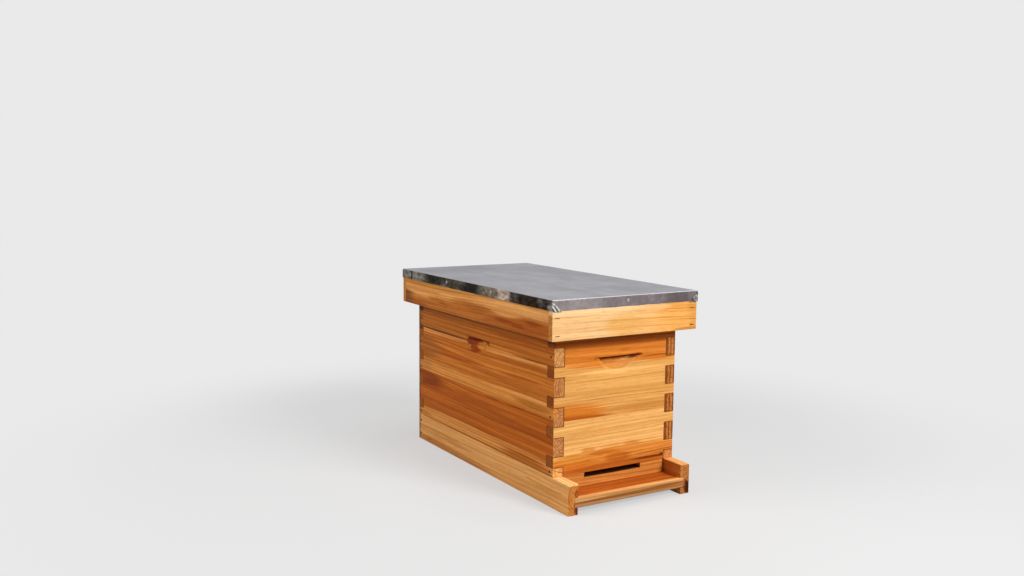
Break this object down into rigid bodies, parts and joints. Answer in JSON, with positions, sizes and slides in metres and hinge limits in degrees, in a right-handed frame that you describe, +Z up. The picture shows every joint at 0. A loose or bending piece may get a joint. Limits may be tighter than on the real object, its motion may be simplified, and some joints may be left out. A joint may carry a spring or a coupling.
{
  "type": "nucleus beehive",
  "caption": "Small wooden nucleus beehive: finger-jointed box with hanging frames, floor with landing and entrance bar, inner cover, and a telescoping lid under folded sheet metal.",
  "frame": {"origin": "on the ground under the centre of the hive's bounding box", "axes": "+Z up, -Y towards the entrance and landing, +X to the right seen from the front"},
  "size_m": [0.2988, 0.58, 0.3496],
  "materials": {
    "floor_wood": "wax-dipped, satin",
    "box_wood": "wax-dipped, satin",
    "lid_wood": "wax-dipped, satin",
    "cover_wood": "wax-dipped, satin",
    "frame_wood": "bare, planed",
    "foundation": "coated with beeswax",
    "galvanised": "galvanised, dull",
    "steel": "bright"
  },
  "bodies": {
    "floor": {"floor_rail_left": "floor_wood", "floor_rail_right": "floor_wood", "floor_rail_back": "floor_wood", "floor_board_1": "floor_wood", "floor_board_2": "floor_wood", "floor_board_3": "floor_wood", "floor_board_4": "floor_wood", "floor_nails": "steel"},
    "entrance_reducer": {"entrance_reducer": "floor_wood"},
    "hive_box": {"box_front": "box_wood", "box_back": "box_wood", "box_left": "box_wood", "box_right": "box_wood", "box_nails": "steel"},
    "frame_1": {"frame_1_top_bar": "frame_wood", "frame_1_end_bar_front": "frame_wood", "frame_1_end_bar_back": "frame_wood", "frame_1_bottom_bar": "frame_wood", "frame_1_foundation": "foundation", "frame_1_brads": "steel"},
    "frame_2": {"frame_2_top_bar": "frame_wood", "frame_2_end_bar_front": "frame_wood", "frame_2_end_bar_back": "frame_wood", "frame_2_bottom_bar": "frame_wood", "frame_2_foundation": "foundation", "frame_2_brads": "steel"},
    "frame_3": {"frame_3_top_bar": "frame_wood", "frame_3_end_bar_front": "frame_wood", "frame_3_end_bar_back": "frame_wood", "frame_3_bottom_bar": "frame_wood", "frame_3_foundation": "foundation", "frame_3_brads": "steel"},
    "frame_4": {"frame_4_top_bar": "frame_wood", "frame_4_end_bar_front": "frame_wood", "frame_4_end_bar_back": "frame_wood", "frame_4_bottom_bar": "frame_wood", "frame_4_foundation": "foundation", "frame_4_brads": "steel"},
    "frame_5": {"frame_5_top_bar": "frame_wood", "frame_5_end_bar_front": "frame_wood", "frame_5_end_bar_back": "frame_wood", "frame_5_bottom_bar": "frame_wood", "frame_5_foundation": "foundation", "frame_5_brads": "steel"},
    "inner_cover": {"inner_cover_front": "cover_wood", "inner_cover_back": "cover_wood", "inner_cover_left": "cover_wood", "inner_cover_right": "cover_wood", "inner_cover_panel": "cover_wood", "inner_cover_brads": "steel"},
    "lid": {"lid_front": "lid_wood", "lid_back": "lid_wood", "lid_left": "lid_wood", "lid_right": "lid_wood", "lid_plank_left": "lid_wood", "lid_plank_right": "lid_wood", "lid_sheet": "galvanised", "lid_staples": "steel", "lid_sheet_nails": "steel"}
  },
  "joints": [
    {"name": "box_lift", "type": "slide", "parent": "floor", "child": "hive_box", "axis": [0, 0, 1], "range_m": [0, 0.15]},
    {"name": "inner_cover_lift", "type": "slide", "parent": "hive_box", "child": "inner_cover", "axis": [0, 0, 1], "range_m": [0, 0.3]},
    {"name": "lid_lift", "type": "slide", "parent": "inner_cover", "child": "lid", "axis": [0, 0, 1], "range_m": [0, 0.12]},
    {"name": "reducer_slide", "type": "slide", "parent": "floor", "child": "entrance_reducer", "axis": [0, -1, 0], "range_m": [0, 0.08]},
    {"name": "frame_1_lift", "type": "slide", "parent": "hive_box", "child": "frame_1", "axis": [0, 0, 1], "range_m": [0, 0.26]},
    {"name": "frame_2_lift", "type": "slide", "parent": "hive_box", "child": "frame_2", "axis": [0, 0, 1], "range_m": [0, 0.26]},
    {"name": "frame_3_lift", "type": "slide", "parent": "hive_box", "child": "frame_3", "axis": [0, 0, 1], "range_m": [0, 0.26]},
    {"name": "frame_4_lift", "type": "slide", "parent": "hive_box", "child": "frame_4", "axis": [0, 0, 1], "range_m": [0, 0.26]},
    {"name": "frame_5_lift", "type": "slide", "parent": "hive_box", "child": "frame_5", "axis": [0, 0, 1], "range_m": [0, 0.26]}
  ],
  "couplings": [
    {"joint": "frame_1_lift", "follows": "inner_cover_lift", "ratio": 0.86},
    {"joint": "frame_2_lift", "follows": "inner_cover_lift", "ratio": 0.86},
    {"joint": "frame_3_lift", "follows": "inner_cover_lift", "ratio": 0.86},
    {"joint": "frame_4_lift", "follows": "inner_cover_lift", "ratio": 0.86},
    {"joint": "frame_5_lift", "follows": "inner_cover_lift", "ratio": 0.86}
  ]
}
